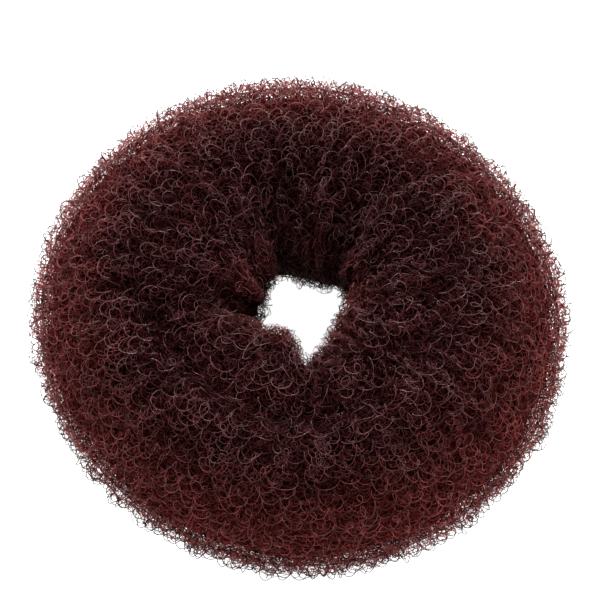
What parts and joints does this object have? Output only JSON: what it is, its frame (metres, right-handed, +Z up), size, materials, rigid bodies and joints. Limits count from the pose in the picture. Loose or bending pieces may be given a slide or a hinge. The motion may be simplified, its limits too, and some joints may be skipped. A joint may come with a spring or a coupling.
{
  "type": "hair donut bun maker",
  "caption": "Soft ring of rolled curly nylon net that a ponytail is drawn through and wrapped over to shape a hair bun.",
  "frame": {"origin": "centre of the ring's box on the surface that it lies on", "axes": "+Z up along the hole, +X to the ring's right side and +Y to its far side as the picture shows it lying"},
  "size_m": [0.0898, 0.089, 0.0365],
  "materials": {
    "nylon_net": "curled nylon monofilament net in dark burgundy brown, springy and softly glossy"
  },
  "bodies": {
    "root": {"net_roll": "nylon_net"}
  },
  "joints": []
}
